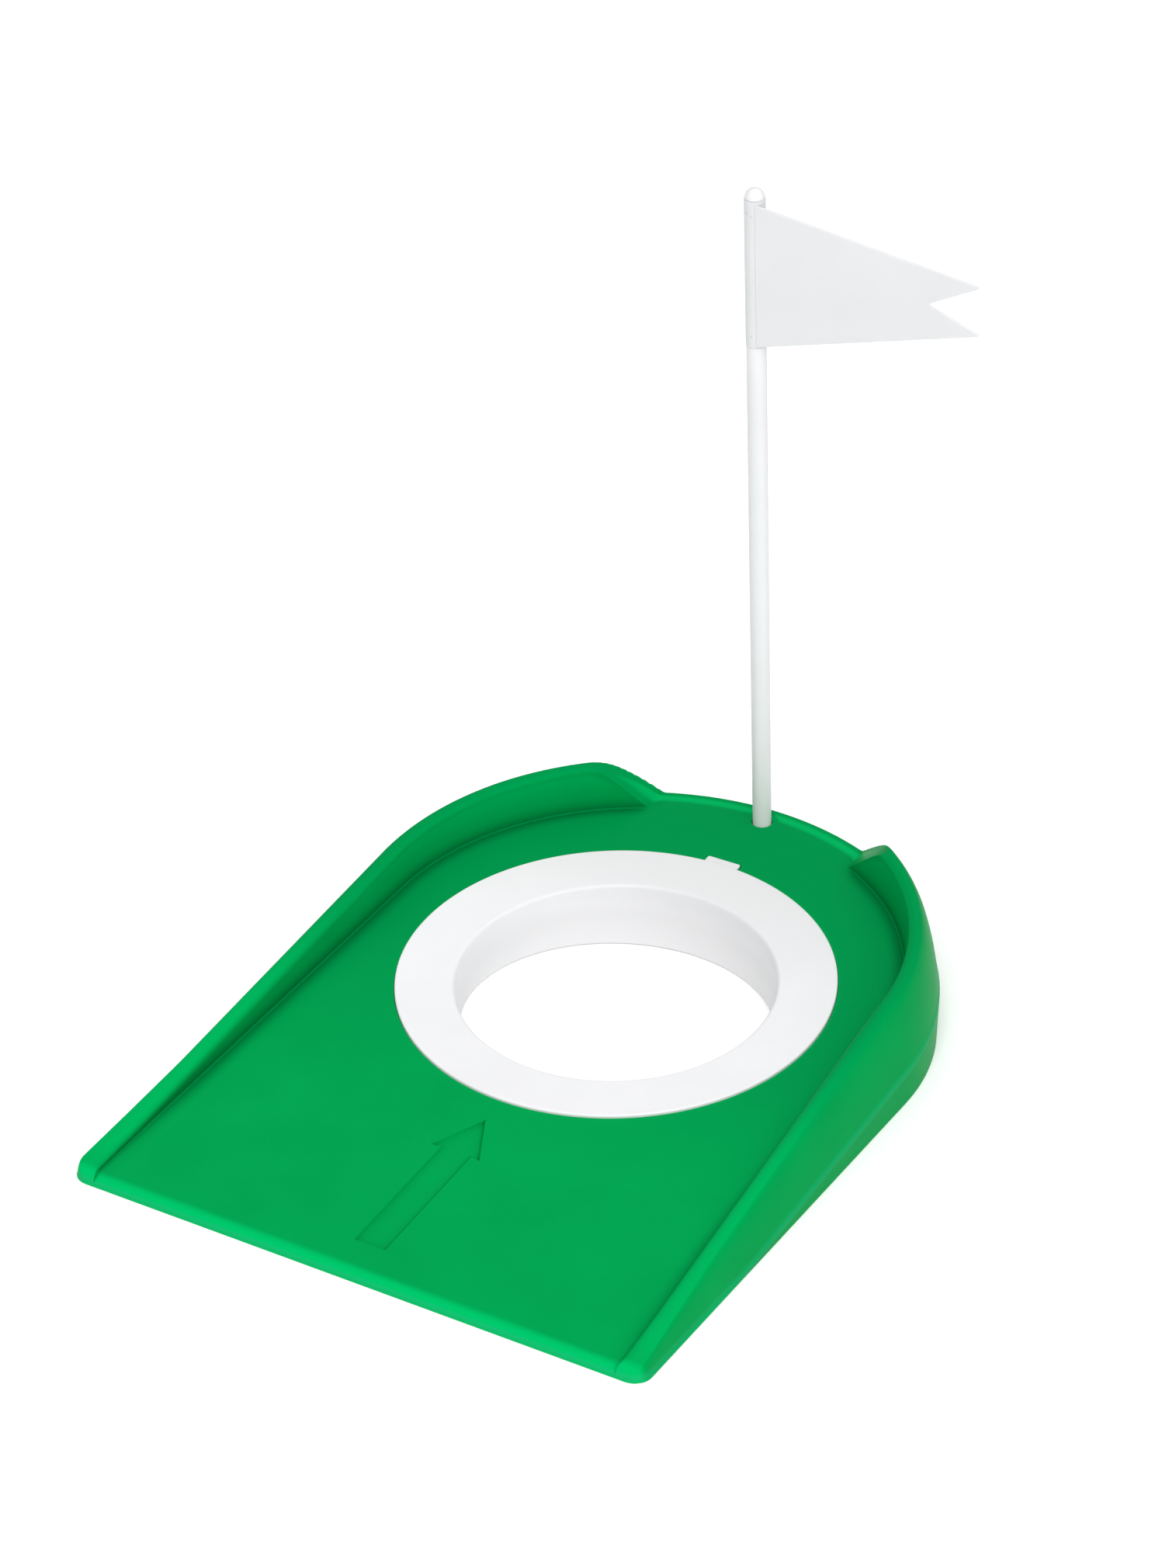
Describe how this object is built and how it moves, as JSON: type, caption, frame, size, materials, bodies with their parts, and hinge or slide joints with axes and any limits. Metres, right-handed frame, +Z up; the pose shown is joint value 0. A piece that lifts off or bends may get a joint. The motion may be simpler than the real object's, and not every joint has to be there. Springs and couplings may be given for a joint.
{
  "type": "putting cup with flag",
  "caption": "Portable putting cup: a sloping base with side rails that guide a golf ball into a lift-out cup ring, and a pull-out pole with a turning pennant behind it.",
  "frame": {"origin": "middle of the floor area that the base covers", "axes": "+Z up; +Y up the ramp, from the low front lip to the rounded rear; +X to the right of someone putting up the ramp"},
  "size_m": [0.2104, 0.285, 0.2791],
  "materials": {
    "green_plastic": "satin",
    "white_plastic": "satin"
  },
  "bodies": {
    "base": {"base": "green_plastic"},
    "ring": {"cup_ring": "white_plastic"},
    "pole": {"pole": "white_plastic"},
    "pennant": {"flag": "white_plastic"}
  },
  "joints": [
    {"name": "ring_lift", "type": "slide", "parent": "base", "child": "ring", "axis": [0, -0.0971, 0.9953], "range_m": [0, 0.03]},
    {"name": "pole_lift", "type": "slide", "parent": "base", "child": "pole", "axis": [0, -0.1115, 0.9938], "range_m": [0, 0.02]},
    {"name": "flag_turn", "type": "hinge", "parent": "pole", "child": "pennant", "pos_m": [0, 0.1324, 0.03041], "axis": [0, -0.1115, 0.9938], "continuous": true}
  ]
}
